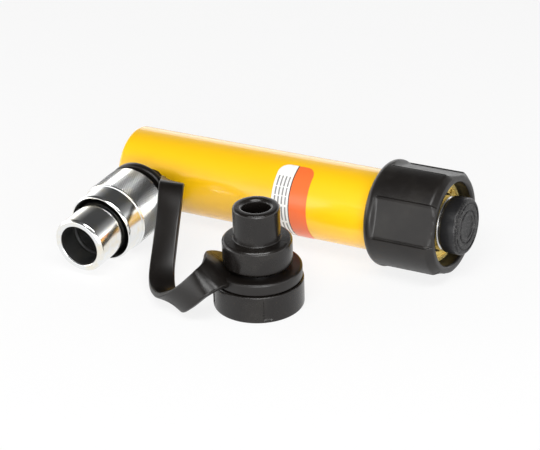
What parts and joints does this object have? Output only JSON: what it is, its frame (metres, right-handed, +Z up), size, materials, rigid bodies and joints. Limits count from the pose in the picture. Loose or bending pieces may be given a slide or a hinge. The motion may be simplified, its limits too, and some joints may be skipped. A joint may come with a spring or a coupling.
{
  "type": "single acting hydraulic cylinder",
  "caption": "Small spring-return hydraulic cylinder with a quick coupler, a thread protector and a dust cap on its strap, lying on a bench.",
  "frame": {"origin": "on the floor below the middle of the cylinder's base face, where the cylinder lies at rest", "axes": "+X from the base towards the saddle along the floor, +Z up, the coupler leaves towards -Y"},
  "size_m": [0.1796, 0.12, 0.0513],
  "materials": {
    "yellow_paint": "satin gloss enamel",
    "black_moulding": "satin black moulded plastic",
    "black_rubber": "soft black seal",
    "soft_strap": "flexible black moulding",
    "bright_zinc": "bright zinc plated steel",
    "turned_steel": "turned and ground steel",
    "dark_steel": "black oxide steel",
    "bronze": "bronze",
    "spring_steel": "spring wire",
    "two_tone_print": "printed film, pale and orange fields",
    "hard_white_plastic": "hard plastic ring"
  },
  "bodies": {
    "cylinder": {"cylinder_body": "yellow_paint", "stop_ring": "bronze", "rod_wiper": "black_rubber", "spring_stud": "turned_steel", "thread_protector": "black_moulding", "sticker": "two_tone_print", "return_spring": "spring_steel", "coupler_body": "bright_zinc", "coupler_snap_ring": "spring_steel", "coupler_seal": "black_rubber", "valve_seat": "turned_steel", "valve_guide": "turned_steel", "valve_spring": "spring_steel"},
    "plunger": {"plunger": "turned_steel", "piston_seal": "black_rubber", "backup_ring": "hard_white_plastic", "piston_bearing": "bronze", "spring_cross_pin": "spring_steel"},
    "saddle": {"saddle": "dark_steel", "saddle_ring": "spring_steel"},
    "coupler_sleeve": {"coupler_sleeve": "bright_zinc"},
    "valve_poppet": {"valve_poppet": "turned_steel"},
    "cap_strap": {"cap_strap": "soft_strap"},
    "dust_cap": {"dust_cap": "black_moulding"}
  },
  "joints": [
    {"name": "plunger_stroke", "type": "slide", "parent": "cylinder", "child": "plunger", "axis": [0.9991, 0, 0.0428], "range_m": [0, 0.076], "stiffness_N_per_m": 600, "springref_m": -0.03, "deforming": ["return_spring"]},
    {"name": "saddle_turn", "type": "hinge", "parent": "plunger", "child": "saddle", "pos_m": [0.16984, 0, 0.02624], "axis": [0.9991, 0, 0.0428], "continuous": true},
    {"name": "sleeve_turn", "type": "hinge", "parent": "cylinder", "child": "coupler_sleeve", "pos_m": [0.01908, -0.04494, 0.01743], "axis": [0.0022, -0.9986, -0.0523], "continuous": true},
    {"name": "poppet_travel", "type": "slide", "parent": "cylinder", "child": "valve_poppet", "axis": [0.0022, -0.9986, -0.0523], "range_m": [-0.003, 0], "stiffness_N_per_m": 500, "springref_m": 0.003, "deforming": ["valve_spring"]},
    {"name": "strap_swing", "type": "hinge", "parent": "cylinder", "child": "cap_strap", "pos_m": [0.01904, -0.02786, 0.01832], "axis": [0.0022, -0.9986, -0.0523], "range_deg": [0, 150]},
    {"name": "cap_turn", "type": "hinge", "parent": "cap_strap", "child": "dust_cap", "pos_m": [0.1044, -0.0616, 0.0158], "axis": [0, 0, 1], "continuous": true}
  ]
}
